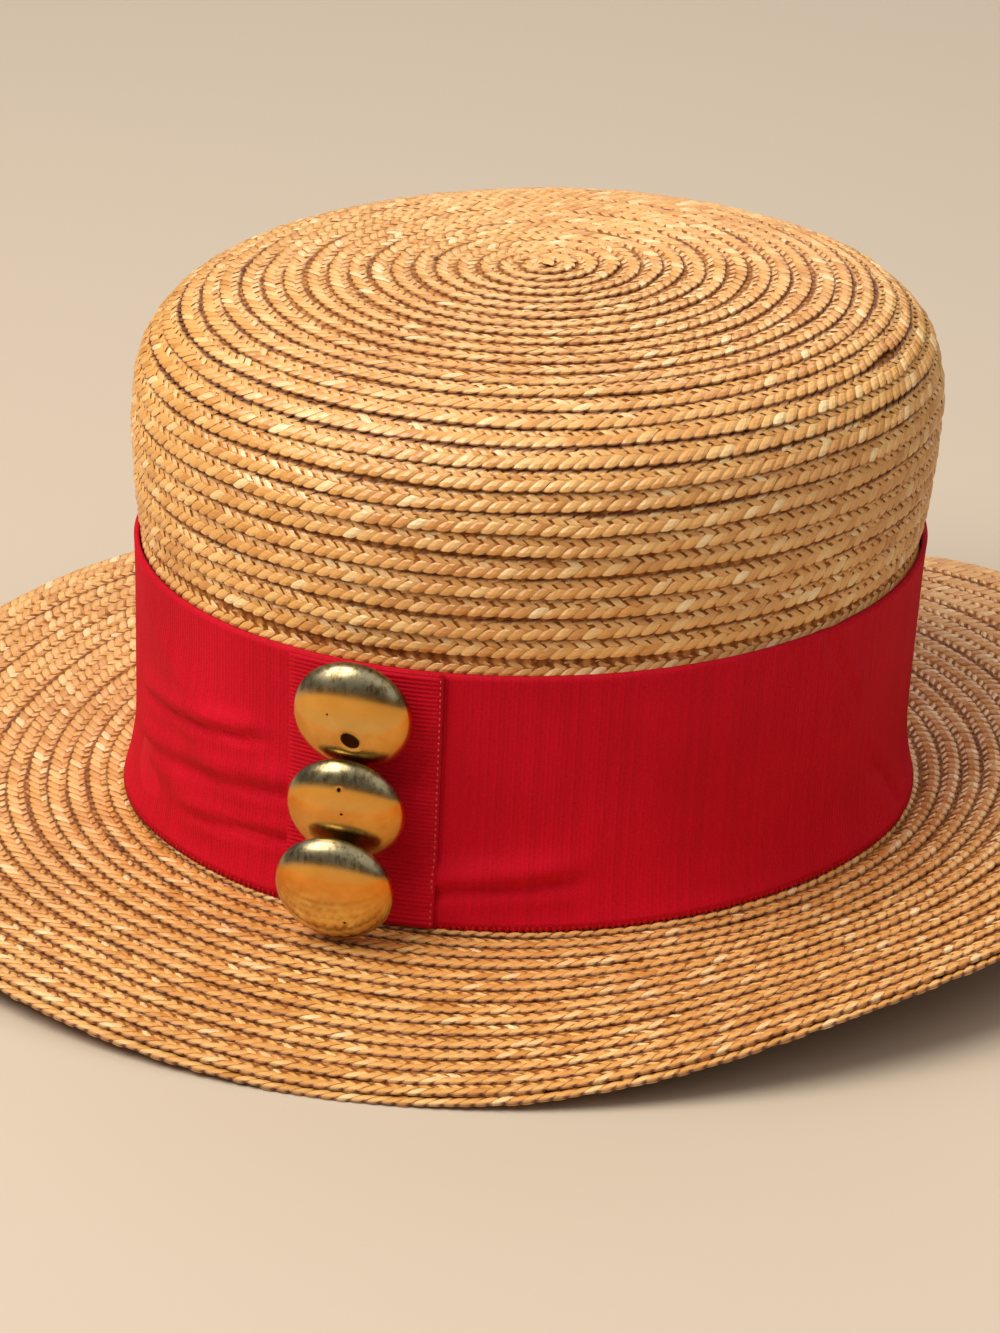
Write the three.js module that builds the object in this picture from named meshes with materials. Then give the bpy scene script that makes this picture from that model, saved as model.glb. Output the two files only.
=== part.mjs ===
// A round hat of sewn straw braid: a flat-topped crown, a wavy brim, a ribbed ribbon band round the
// crown's foot, an upright ribbon tab on the band, and three domed brass buttons one above the other.
// Millimetres, +Z up. The origin lies on the surface that the hat rests on, under the middle of the
// brim. -Y is the side that shows most of the tab; the buttons are a little to its left, towards -X.
import * as THREE from "three";

// Driving dimensions
const crownRadius = 92.5; // outside of the straw, half way up the ribbon
const crownHeight = 126; // from the brim's top face to the crown's tip
const crownLean = 0.045; // how far the crown shifts towards +X for each unit of height
const brimRadius = 165; // seen from above
const strawWall = 2.4; // two rows of braid, where they overlap
const brimStand = 7.4; // height of the brim's collar above the resting surface
const brimWave = 19.4; // rise of the brim's edge from its lowest to its highest point
const ribbonWidth = 61;
const ribbonThickness = 1;
const tabWidth = 36.5;
const buttonRadius = 13.6;
const buttonDome = 6.8;
const seatGap = 0.3; // clearance between pieces that touch on the real hat
const collarOverlap = 3.2; // flat ring of the brim outside the crown's foot
const turns = 72; // steps round the hat
const levels = 6; // steps up the ribbon
const steps = 20; // steps round a button

// The crown's outline from its foot to its tip, as shares of the crown's height and radius
const crownOutline = [
  { height: 0.0, radius: 1.009 },
  { height: 0.048, radius: 0.995 },
  { height: 0.127, radius: 0.987 },
  { height: 0.317, radius: 0.992 },
  { height: 0.476, radius: 0.999 },
  { height: 0.556, radius: 1.015 },
  { height: 0.675, radius: 1.028 },
  { height: 0.754, radius: 1.031 },
  { height: 0.817, radius: 1.02 },
  { height: 0.873, radius: 0.989 },
  { height: 0.929, radius: 0.908 },
  { height: 0.964, radius: 0.778 },
  { height: 0.984, radius: 0.562 },
  { height: 0.996, radius: 0.303 },
  { height: 1.0, radius: 0.0 },
];

// The height of the brim's edge round the hat: degrees from +X towards +Y, share of the wave
const brimEdge = [
  { degrees: -172, lift: 0.0 },
  { degrees: -134, lift: 0.25 },
  { degrees: -119, lift: 0.11 },
  { degrees: -104, lift: 0.0 },
  { degrees: -92, lift: 0.07 },
  { degrees: -80, lift: 0.31 },
  { degrees: -67, lift: 0.68 },
  { degrees: -54, lift: 0.89 },
  { degrees: -28, lift: 1.0 },
  { degrees: 0, lift: 0.95 },
  { degrees: 25, lift: 0.8 },
  { degrees: 44, lift: 0.6 },
  { degrees: 68, lift: 0.0 },
  { degrees: 92, lift: 0.0 },
  { degrees: 114, lift: 0.28 },
  { degrees: 130, lift: 0.48 },
  { degrees: 146, lift: 0.38 },
  { degrees: 164, lift: 0.12 },
];

// Soft folds in the band: where each is centred, in degrees and as a share of the ribbon's width,
// its length round the hat, its breadth and slant as shares of that width, and its rise
const ribbonFolds = [
  { degrees: -146, up: 0.66, span: 26, breadth: 0.1, slant: -0.3, rise: 1.5 },
  { degrees: -141, up: 0.44, span: 22, breadth: 0.07, slant: -0.28, rise: 1.0 },
  { degrees: -150, up: 0.25, span: 30, breadth: 0.09, slant: -0.25, rise: 1.2 },
  { degrees: -93, up: 0.2, span: 18, breadth: 0.09, slant: 0.1, rise: 0.9 },
  { degrees: -38, up: 0.5, span: 14, breadth: 0.3, slant: 0.3, rise: 0.6 },
  { degrees: 60, up: 0.4, span: 26, breadth: 0.12, slant: 0.2, rise: 0.9 },
  { degrees: 128, up: 0.6, span: 24, breadth: 0.1, slant: -0.2, rise: 1.0 },
];

// The buttons, which overlap like scales. Of each rim's middle: the height above the ribbon's lower
// edge as a share of a button's radius, and the distance in front of the tab as a share of its dome.
// Of each face: degrees turned from the crown's own outward direction, and degrees tipped down
const buttonBearing = -112.9;
const tabBearing = -113.2;
const buttons = [
  { name: "button_top", above: 3.78, standoff: 0.8, turned: 7, tipped: 10 },
  { name: "button_middle", above: 2.18, standoff: 1.15, turned: 7.5, tipped: 15 },
  { name: "button_bottom", above: 0.93, standoff: 1.88, turned: 8, tipped: 14.5 },
];
const shankRadius = 1.4;
const rimThickness = 1;

const degrees = THREE.MathUtils.degToRad;

// A smooth curve through the rows of a table that never overshoots them (Fritsch and Carlson)
function smoothCurve(xs, ys) {
  const widths = xs.slice(1).map((x, i) => x - xs[i]);
  const rises = ys.slice(1).map((y, i) => (y - ys[i]) / widths[i]);
  const slopes = ys.map((_, i) => {
    const before = rises[i - 1];
    const after = rises[i];
    if (before === undefined || after === undefined) return before ?? after;
    return before * after <= 0 ? 0 : (2 * before * after) / (before + after);
  });
  return (x) => {
    let i = xs.findIndex((knot, k) => k > 0 && x <= knot) - 1;
    if (i < 0) i = widths.length - 1;
    const h = widths[i];
    const t = THREE.MathUtils.clamp((x - xs[i]) / h, 0, 1);
    const rest = 1 - t;
    return (
      ys[i] * rest * rest * (1 + 2 * t) +
      ys[i + 1] * t * t * (3 - 2 * t) +
      h * slopes[i] * t * rest * rest -
      h * slopes[i + 1] * t * t * rest
    );
  };
}

// The crown's outside radius at a height above the brim, below the shoulder
const wallRows = crownOutline.filter((row) => row.height < 0.8);
const wallRadius = smoothCurve(
  wallRows.map((row) => row.height * crownHeight),
  wallRows.map((row) => row.radius * crownRadius),
);

// The height of the underside of the brim's edge, repeated past both ends of the circle
const edgeRows = [-360, 0, 360].flatMap((turn) =>
  brimEdge.map((row) => ({ degrees: row.degrees + turn, lift: row.lift })),
);
const edgeLift = smoothCurve(
  edgeRows.map((row) => row.degrees),
  edgeRows.map((row) => row.lift * brimWave),
);

// A closed surface from a grid of points: rows go round the hat, columns round each section
function closedGrid(sections) {
  const count = sections[0].length;
  const positions = sections.flat().flatMap((p) => [p.x, p.y, p.z]);
  const indices = [];
  sections.forEach((_, i) => {
    const next = (i + 1) % sections.length;
    for (let j = 0; j < count; j += 1) {
      const k = (j + 1) % count;
      const a = i * count + j;
      const b = next * count + j;
      const c = next * count + k;
      const d = i * count + k;
      indices.push(a, b, c, a, c, d);
    }
  });
  const geometry = new THREE.BufferGeometry();
  geometry.setAttribute("position", new THREE.Float32BufferAttribute(positions, 3));
  geometry.setIndex(indices);
  geometry.computeVertexNormals();
  return geometry;
}

// A point by its bearing, radius and height above the brim's collar; lean shifts it towards +X
function place(bearing, radius, height, lean = crownLean) {
  const angle = degrees(bearing);
  return new THREE.Vector3(
    radius * Math.cos(angle) + lean * height,
    radius * Math.sin(angle),
    brimStand + height,
  );
}

const bearings = Array.from({ length: turns }, (_, i) => -180 + (360 * i) / turns);

// Heights above the collar of the ribbon's levels, which the crown's wall has too
const bandLift = 2 * seatGap;
const levelShares = Array.from({ length: levels + 1 }, (_, i) => i / levels);
const levelHeights = levelShares.map((up) => bandLift + up * ribbonWidth);

// Crown: one shell, its inside the outside moved inwards by the wall's thickness
function makeCrown() {
  const wall = levelHeights.map((height) => {
    return new THREE.Vector2(wallRadius(height - seatGap), height - seatGap);
  });
  wall[0].y = 0;
  const ribbonTop = levelHeights[levels] + strawWall;
  const shoulder = crownOutline
    .filter((row) => row.height * crownHeight > ribbonTop)
    .map((row) => new THREE.Vector2(row.radius * crownRadius, row.height * crownHeight));
  const outside = [...wall, ...shoulder];
  const inside = outside.map((point, i) => {
    const before = outside[Math.max(i - 1, 0)];
    const after = outside[Math.min(i + 1, outside.length - 1)];
    const along = after.clone().sub(before).normalize();
    return new THREE.Vector2(point.x - along.y * strawWall, point.y + along.x * strawWall);
  });
  inside[0].set(outside[0].x - strawWall, 0);
  inside[inside.length - 1].set(0, crownHeight - strawWall);
  const geometry = new THREE.LatheGeometry([...inside.reverse(), ...outside], turns, -Math.PI / 2);
  // The lathe turns about Y; this lays its axis along Z, then leans the crown
  geometry.rotateX(Math.PI / 2);
  const position = geometry.getAttribute("position");
  for (let i = 0; i < position.count; i += 1) {
    const height = position.getZ(i) + seatGap;
    position.setX(i, position.getX(i) + crownLean * height);
    position.setZ(i, height + brimStand);
  }
  return geometry;
}

// Brim: a flat collar under the crown's foot, then a fall or rise to the wavy edge
function makeBrim() {
  const foot = crownOutline[0].radius * crownRadius;
  const innerRadius = foot - strawWall;
  const collarRadius = foot + collarOverlap;
  const shares = [0, 0.2, 0.45, 0.7, 1];
  const radii = [innerRadius, ...shares.map((t) => collarRadius + (brimRadius - collarRadius) * t)];
  const sections = bearings.map((bearing) => {
    const edgeTop = edgeLift(bearing) + strawWall - brimStand;
    const heights = [0, ...shares.map((t) => edgeTop * t ** 1.15)];
    const top = radii.map((radius, i) => place(bearing, radius, heights[i], 0));
    const underside = radii.map((radius, i) => place(bearing, radius, heights[i] - strawWall, 0));
    return [...underside, ...top.reverse()];
  });
  return closedGrid(sections);
}

// How far the band stands out at a bearing and a share of the ribbon's width
function foldRise(bearing, up) {
  return ribbonFolds.reduce((rise, fold) => {
    const along = (bearing - fold.degrees) / (fold.span / 2);
    const across = (up - fold.up - (fold.slant * along) / 2) / fold.breadth;
    return rise + fold.rise * Math.exp(-along * along - across * across);
  }, 0);
}

// The band's inside radius at a share of the ribbon's width
const bandInside = (up) => wallRadius(up * ribbonWidth + seatGap) + seatGap;

// A wall of ribbon over a list of bearings; its corners run round the section
function ribbonSections(places, inside) {
  return places.map((bearing) => {
    const line = (offset) =>
      levelShares.map((up, i) => place(bearing, inside(bearing, up) + offset, levelHeights[i]));
    return [...line(ribbonThickness), ...line(0).reverse()];
  });
}

// Ribbon band: a closed ring that lies on the crown and follows its folds
function makeBand() {
  const inside = (bearing, up) => bandInside(up) + foldRise(bearing, up);
  return closedGrid(ribbonSections(bearings, inside));
}

// The tab is made of flat strips over the band's, so it clears their corners by a little more
const tabClearance = 1.6 * seatGap;

// Ribbon tab: a short upright piece over the band, under the buttons
function makeTab() {
  const half = THREE.MathUtils.radToDeg(tabWidth / 2 / crownRadius);
  const across = 10;
  const places = Array.from({ length: across + 1 }, (_, i) => {
    return tabBearing - half + (2 * half * i) / across;
  });
  const inside = (bearing, up) => {
    return bandInside(up) + foldRise(bearing, up) + ribbonThickness + tabClearance;
  };
  const sections = ribbonSections(places, inside);
  const geometry = closedGrid(sections);
  // The grid is open-ended here: the last strip goes, and each end gets a cap
  const count = sections[0].length;
  const index = Array.from(geometry.getIndex().array).slice(0, across * count * 6);
  const cap = (start, flip) => {
    for (let j = 0; j < levels; j += 1) {
      const outer = [start + j, start + j + 1];
      const inner = [start + count - 1 - j, start + count - 2 - j];
      const quads = [outer[0], outer[1], inner[1], outer[0], inner[1], inner[0]];
      index.push(...(flip ? quads.reverse() : quads));
    }
  };
  cap(0, false);
  cap(across * count, true);
  geometry.setIndex(index);
  return geometry;
}

// Button: a dome with a thin rim, a flat back and a shank that reaches to the tab. The shank's end is
// square to the button, so its nearest corner sets the length
function makeButton(standoff, slope) {
  const shankLength = (standoff - seatGap) / Math.cos(slope) - shankRadius * Math.tan(slope);
  const arc = 5;
  const profile = [
    new THREE.Vector2(0, -shankLength),
    new THREE.Vector2(shankRadius, -shankLength),
    new THREE.Vector2(shankRadius, -rimThickness),
    new THREE.Vector2(buttonRadius - rimThickness / 2, -rimThickness),
  ];
  for (let i = 0; i <= arc; i += 1) {
    const t = (Math.PI / 2) * (i / arc);
    const radius = i === arc ? 0 : buttonRadius * Math.cos(t);
    profile.push(new THREE.Vector2(radius, buttonDome * Math.sin(t)));
  }
  return new THREE.LatheGeometry(profile, steps);
}

const straw = { color: 0xd9a259, roughness: 0.62, metalness: 0 };
const ribbon = { color: 0xc3141f, roughness: 0.7, metalness: 0 };
const brass = { color: 0xd8a84e, roughness: 0.18, metalness: 1 };

function piece(name, geometry, look) {
  const mesh = new THREE.Mesh(geometry, new THREE.MeshStandardMaterial(look));
  mesh.name = name;
  return mesh;
}

const hat = new THREE.Group();
hat.add(piece("crown", makeCrown(), straw));
hat.add(piece("brim", makeBrim(), straw));
hat.add(piece("ribbon_band", makeBand(), ribbon));
hat.add(piece("ribbon_tab", makeTab(), ribbon));

for (const button of buttons) {
  const height = bandLift + button.above * buttonRadius;
  const standoff = button.standoff * buttonDome;
  const facing = degrees(buttonBearing + button.turned);
  const down = degrees(button.tipped);
  const outward = new THREE.Vector3(
    Math.cos(down) * Math.cos(facing),
    Math.cos(down) * Math.sin(facing),
    -Math.sin(down),
  );
  const square = place(buttonBearing, 1, 0, 0).setZ(0);
  const slope = outward.angleTo(square);
  // The tab's outer face is where the standoff starts
  const up = THREE.MathUtils.clamp((height - bandLift) / ribbonWidth, 0, 1);
  const tabFace = bandInside(up) + 2 * ribbonThickness + tabClearance;
  const mesh = piece(button.name, makeButton(standoff, slope), brass);
  mesh.position.copy(place(buttonBearing, tabFace + standoff, height));
  mesh.quaternion.setFromUnitVectors(new THREE.Vector3(0, 1, 0), outward);
  hat.add(mesh);
}

export default hat;
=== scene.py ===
# %% [markdown]
# # A straw hat, sewn from one long braid
#
# The hat is a crown and a brim of sewn straw braid, a red ribbed ribbon round the crown's foot, a short
# upright tab of the same ribbon, and three domed brass buttons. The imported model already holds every
# piece at its real size. This file gives each one its fine surface and its finish, in the same place.

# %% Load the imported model
import math

import bmesh
import bpy
import numpy as np
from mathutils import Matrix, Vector


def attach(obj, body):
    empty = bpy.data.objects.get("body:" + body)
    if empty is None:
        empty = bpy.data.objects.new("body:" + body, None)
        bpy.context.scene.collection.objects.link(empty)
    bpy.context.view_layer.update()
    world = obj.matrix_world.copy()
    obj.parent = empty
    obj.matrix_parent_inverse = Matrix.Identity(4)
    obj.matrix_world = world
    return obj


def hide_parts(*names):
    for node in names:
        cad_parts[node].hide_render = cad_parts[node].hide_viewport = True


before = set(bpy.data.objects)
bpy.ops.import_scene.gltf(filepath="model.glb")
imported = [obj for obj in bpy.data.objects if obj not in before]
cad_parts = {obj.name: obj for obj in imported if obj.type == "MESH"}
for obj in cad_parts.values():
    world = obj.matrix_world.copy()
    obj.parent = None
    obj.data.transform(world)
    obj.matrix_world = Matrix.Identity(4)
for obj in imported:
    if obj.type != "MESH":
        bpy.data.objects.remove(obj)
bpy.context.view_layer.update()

MM = 0.001
print("packed pieces:", sorted(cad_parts))

# %% [markdown]
# The camera comes first, because every later choice is judged through it. It looks down at the hat by
# about 23 degrees, from a metre away, with a long lens, so the brim is cut off at both sides.

# %% Camera
CAMERA_DROP = math.radians(23.075)
CAMERA_DISTANCE = 1109.3 * MM
CAMERA_TARGET = Vector((-4.5, 0, 31.6)) * MM
LENS = 124.75


def make_camera():
    data = bpy.data.cameras.new("camera")
    data.lens = LENS
    data.clip_start = 0.05
    camera = bpy.data.objects.new("camera", data)
    bpy.context.collection.objects.link(camera)
    back = Vector((0, -math.cos(CAMERA_DROP), math.sin(CAMERA_DROP)))
    camera.location = CAMERA_TARGET + back * CAMERA_DISTANCE
    camera.rotation_euler = (math.pi / 2 - CAMERA_DROP, 0, 0)
    bpy.context.scene.camera = camera
    print("camera at", [round(x, 3) for x in camera.location])


make_camera()

# %% [markdown]
# The braid follows the hat's form, so the form is written first as two functions. Each takes a distance
# along the surface, from the tip of the crown or from the brim's inner edge, and an angle round the
# hat. The outline and the wave come from short tables of shares, joined by a curve that never
# overshoots its points. Lengths are in millimetres, and MM turns them into metres.

# %% The hat's form
CROWN_RADIUS = 92.5
CROWN_HEIGHT = 126
CROWN_LEAN = 0.045
BRIM_RADIUS = 165
STRAW_WALL = 2.4
BRIM_STAND = 7.4
BRIM_WAVE = 19.4
SEAT_GAP = 0.3
COLLAR_OVERLAP = 3.2

CROWN_OUTLINE = [  # share of the height, share of the radius, from the foot to the tip
    (0.0, 1.009), (0.048, 0.995), (0.127, 0.987), (0.317, 0.992), (0.476, 0.999),
    (0.556, 1.015), (0.675, 1.028), (0.754, 1.031), (0.817, 1.02), (0.873, 0.989),
    (0.929, 0.908), (0.964, 0.778), (0.984, 0.562), (0.996, 0.303), (1.0, 0.0),
]
BRIM_EDGE = [  # degrees from +X towards +Y, share of the wave
    (-172, 0.0), (-134, 0.25), (-119, 0.11), (-104, 0.0), (-92, 0.07), (-80, 0.31),
    (-67, 0.68), (-54, 0.89), (-28, 1.0), (0, 0.95), (25, 0.8), (44, 0.6),
    (68, 0.0), (92, 0.0), (114, 0.28), (130, 0.48), (146, 0.38), (164, 0.12),
]


def smooth(xs, ys, x):
    """A curve through the points that never overshoots them."""
    xs, ys, x = np.asarray(xs, float), np.asarray(ys, float), np.asarray(x, float)
    widths = np.diff(xs)
    rises = np.diff(ys) / widths
    before, after = rises[:-1], rises[1:]
    safe = np.where(before * after > 0, before + after, 1.0)
    inner = np.where(before * after > 0, 2 * before * after / safe, 0.0)
    slopes = np.concatenate([rises[:1], inner, rises[-1:]])
    i = np.clip(np.searchsorted(xs, x, side="left") - 1, 0, len(widths) - 1)
    t = np.clip((x - xs[i]) / widths[i], 0, 1)
    rest = 1 - t
    return (
        ys[i] * rest**2 * (1 + 2 * t)
        + ys[i + 1] * t**2 * (3 - 2 * t)
        + widths[i] * (slopes[i] * t * rest**2 - slopes[i + 1] * t**2 * rest)
    )


outline = np.array(CROWN_OUTLINE[::-1]) * (CROWN_HEIGHT, CROWN_RADIUS)
outline_steps = np.hypot(*np.diff(outline, axis=0).T)
outline_distance = np.concatenate([[0], np.cumsum(outline_steps)])
CROWN_LENGTH = outline_distance[-1]
COLLAR_RADIUS = CROWN_OUTLINE[0][1] * CROWN_RADIUS + COLLAR_OVERLAP
BRIM_INNER = COLLAR_RADIUS - COLLAR_OVERLAP - STRAW_WALL
print("crown outline, tip to foot:", round(CROWN_LENGTH, 1), "mm")
print("head opening:", round(2 * BRIM_INNER, 1), "mm")


def crown_surface(distance, angle):
    height = smooth(outline_distance, outline[:, 0], distance)
    radius = smooth(outline_distance, outline[:, 1], distance)
    x = radius * np.cos(angle) + CROWN_LEAN * height
    return np.stack([x, radius * np.sin(angle), BRIM_STAND + SEAT_GAP + height], -1)


def brim_surface(distance, angle):
    edge = np.array([(d + turn, s) for turn in (-360, 0, 360) for d, s in BRIM_EDGE])
    bearing = (np.degrees(angle) + 180) % 360 - 180
    edge_top = smooth(edge[:, 0], edge[:, 1] * BRIM_WAVE, bearing) + STRAW_WALL - BRIM_STAND
    radius = BRIM_INNER + distance
    share = np.clip((radius - COLLAR_RADIUS) / (BRIM_RADIUS - COLLAR_RADIUS), 0, 1)
    height = BRIM_STAND + edge_top * share**1.15
    return np.stack([radius * np.cos(angle), radius * np.sin(angle), height], -1)


def unit(vectors):
    return vectors / np.linalg.norm(vectors, axis=-1, keepdims=True)


def surface_frame(surface, distance, angle):
    """Point, direction along the braid, direction across it, and outward normal, all in mm."""
    step, turn = 0.05, 1e-3
    point = surface(distance, angle)
    across = unit(surface(distance + step, angle) - surface(distance - step, angle))
    flat = np.stack([-np.sin(angle), np.cos(angle), 0 * angle], -1)
    along = unit(surface(distance, angle + turn) - surface(distance, angle - turn) + 1e-9 * flat)
    return point, along, across, unit(np.cross(across, along))


# %% [markdown]
# The straw is a flat braid about 7 mm wide. It winds out from the tip in one spiral, and each turn lies
# over the next like a roof tile, so about 5 mm of every row shows. On the upright wall each row stands
# well proud of the next, and on the flat tip and the brim much less. A spiral like this could be a curve
# with a bevel, but the braid must also lie flat on the form, so its section is placed point by point.
# The rows stray a little, as sewn rows do, and a few places are flawed: a splice with a small notch, and
# two spots where a row jumps.

# %% The spiral of braid
BRAID_WIDTH = 7.0
EDGE_DEPTH = -0.5  # height of the braid's lower edge over the form
TIP_HOLE = 0.2  # radius left open at the tip, under the splints
WANDER_STARTS = 20  # radians wound before the rows stray in full
OUTER_WANDER = 0.4  # share of the wander that the outermost edge keeps
FLAW_REACH = 2.5  # how far across the rows a flaw fades
LAST_TUCK = 1.0
LAST_OUT = 0.5
LAST_RAMP = 8  # the last turn tucks in within an eighth of a turn
WANDERS = [  # how far a sewn row strays from its line, in mm, times round the hat, and phase
    (0.22, 2.63, 0.4), (0.16, 5.31, 1.9), (0.12, 9.17, 3.1), (0.07, 17.7, 0.8),
]
# Cuts are for each turn. A step is how far a row stands above the next, on the flat and on the wall.
CROWN_ROWS = {
    "surface": crown_surface, "length": CROWN_LENGTH - 0.6, "first": 2.2, "row": 5.0,
    "cuts": 96, "flat_step": 0.7, "wall_step": 1.3, "turns_upright": (74, 104),
    "flaws": [  # bearing in degrees, distance from the tip, span in degrees, how far the row moves
        (-26, 86.8, 2.4, -1.3), (-26, 91.8, 3.4, 0.9), (-90, 110.5, 1.6, -0.7), (-84, 112, 2.5, 0.5),
        (20, 120, 3, 0.6), (130, 95, 3, -0.6),
    ],
}
BRIM_ROWS = {
    "surface": brim_surface, "length": BRIM_RADIUS - BRIM_INNER - 0.9, "first": 0.8, "row": 4.8,
    "cuts": 120, "flat_step": 0.8, "wall_step": 0.8, "turns_upright": (0, 1),
    "flaws": [(-96, 56, 3, 0.5), (-35, 40, 4, -0.5), (160, 50, 3, 0.6)],
}


def wander(angle, shift=0.0):
    return sum(size * np.sin(times * angle + phase + shift) for size, times, phase in WANDERS)


def row_step(rows, distance):
    """How far a row stands above the next one."""
    start, end = rows["turns_upright"]
    share = np.clip((distance - start) / (end - start), 0, 1)
    return rows["flat_step"] + (rows["wall_step"] - rows["flat_step"]) * share * share * (3 - 2 * share)


def spiral(rows):
    """Angles and distances of the braid's lower edge, how far it is tucked in, and its length so far."""
    end = math.tau * (rows["length"] - rows["first"]) / rows["row"]
    angle = np.linspace(0, end + math.tau, int((end / math.tau + 1) * rows["cuts"]))
    distance = rows["first"] + rows["row"] * angle / math.tau
    distance = distance + wander(angle) * np.clip(angle / WANDER_STARTS, 0, 1)
    for bearing, level, span, size in rows["flaws"]:
        beside = ((np.degrees(angle) - bearing + 180) % 360 - 180) / span
        above = (distance - level) / FLAW_REACH
        distance = distance + size * np.exp(-(beside**2) - above**2)
    last = np.clip((angle - end) / math.tau * LAST_RAMP, 0, 1)
    outermost = rows["length"] + OUTER_WANDER * wander(angle, 2.0) + LAST_OUT * last
    distance = np.minimum(distance, outermost)
    tuck = LAST_TUCK * last + OUTER_WANDER * wander(angle, 4.0)
    edge = rows["surface"](distance, angle)
    run = np.concatenate([[0], np.cumsum(np.linalg.norm(np.diff(edge, axis=0), axis=1))])
    return angle, distance, tuck, run


# %% The strip of braid
STRIP_SHARES = (0, 0.3, 0.65, 0.93, 1)  # where the strip's section has points, from back to lower edge
STRIP_THICK = 0.7  # share of the rows' step
EDGE_DROOP = 0.1


def make_object(name, mesh):
    piece = bpy.data.objects.new(name, mesh)
    bpy.context.collection.objects.link(piece)
    return piece


def skin_from_grid(name, points, uv, loop_rows=False, caps=False):
    """A closed skin from a grid of points in mm: rows along the piece, columns round its section."""
    rows, columns = points.shape[:2]
    count = rows if loop_rows else rows - 1
    i, j = np.meshgrid(np.arange(count), np.arange(columns), indexing="ij")
    following, beside = (i + 1) % rows, (j + 1) % columns
    corners = ((i, j), (following, j), (following, beside), (i, beside))
    quads = np.stack([row * columns + column for row, column in corners], -1)
    faces = [tuple(q) for q in quads.reshape(-1, 4).tolist()]
    if caps:
        faces.append(tuple(range(columns)))
        faces.append(tuple(range((rows - 1) * columns, rows * columns))[::-1])
    mesh = bpy.data.meshes.new(name)
    mesh.from_pydata((points.reshape(-1, 3) * MM).tolist(), [], faces)
    layer = mesh.uv_layers.new(name="UVMap")
    corner = np.empty(len(mesh.loops), np.int32)
    mesh.loops.foreach_get("vertex_index", corner)
    layer.data.foreach_set("uv", uv.reshape(-1, 2)[corner].ravel())
    face_out(mesh)
    mesh.shade_smooth()
    return make_object(name, mesh)


def face_out(mesh):
    work = bmesh.new()
    work.from_mesh(mesh)
    bmesh.ops.recalc_face_normals(work, faces=work.faces)
    work.to_mesh(mesh)
    work.free()


def make_braid(name, rows):
    angle, distance, tuck, run = spiral(rows)
    width = np.minimum(distance - TIP_HOLE, BRAID_WIDTH)
    step = row_step(rows, distance)
    outer, inner, marks = [], [], []
    for share in STRIP_SHARES:
        back = (1 - share) * width
        point, _, _, normal = surface_frame(rows["surface"], distance - back, angle)
        droop = EDGE_DROOP if share in (0, 1) else 0
        depth = EDGE_DEPTH - step / rows["row"] * back - tuck - droop
        outer.append(point + normal * depth[:, None])
        inner.append(point + normal * (depth - STRIP_THICK * step + 2 * droop)[:, None])
        marks.append(np.stack([run, back], -1))
    points = np.stack(outer + inner[::-1], 1)
    uv = np.stack(marks + [mark * (1, -1) for mark in marks[::-1]], 1)
    piece = skin_from_grid(name, points, uv, caps=True)
    print(f"{name}: {angle[-1] / math.tau:.1f} turns, {run[-1] * MM:.1f} m of braid")
    return piece


crown_braid = make_braid("crown_braid", CROWN_ROWS)
brim_braid = make_braid("brim_braid", BRIM_ROWS)

# %% [markdown]
# A smooth strip isn't straw. The braid's face is woven from short splints: along the lower edge a row of
# slanted beads that roll under the edge, and above them finer splints that cross. Each cell of the weave
# repeats every 3.3 mm, thousands of times, which is work for Geometry Nodes: points along the spiral
# carry their own directions, and each cell gets its three splints, each with a slightly different
# place, size and tone. A splint follows a short path and stays level with the edge across its width, so
# that neighbours meet in thin slanted lines.

# %% One splint
CELL = 3.3
SPLINTS = {  # width, tilt, points across, and a path: along the braid, up from its edge, outward, arch
    "Bead": {"width": 3.5, "tilt": 0.06, "across": 4, "path": [
        (-0.6, -0.05, -0.9, 0.2), (-0.55, -0.34, -0.45, 0.36), (-0.35, -0.13, 0.05, 0.32),
        (0.55, 0.8, 0.36, 0.36), (1.6, 1.95, 0.27, 0.34), (2.6, 2.95, -0.2, 0.2)]},
    "Crossing": {"width": 2.35, "tilt": -0.05, "across": 3, "path": [
        (3.3, 1.8, -0.1, 0.1), (2.7, 2.45, 0.25, 0.22), (1.8, 3.35, 0.2, 0.22), (0.9, 4.3, -0.2, 0.1)]},
    "Top": {"width": 2.4, "tilt": 0.05, "across": 3, "path": [
        (3.0, 3.1, -0.15, 0.1), (3.7, 3.75, 0.1, 0.18), (4.4, 4.35, -0.02, 0.18), (4.9, 4.9, -0.35, 0.1)]},
}


def mesh_from_work(name, work):
    mesh = bpy.data.meshes.new(name)
    work.to_mesh(mesh)
    work.free()
    return mesh


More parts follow.
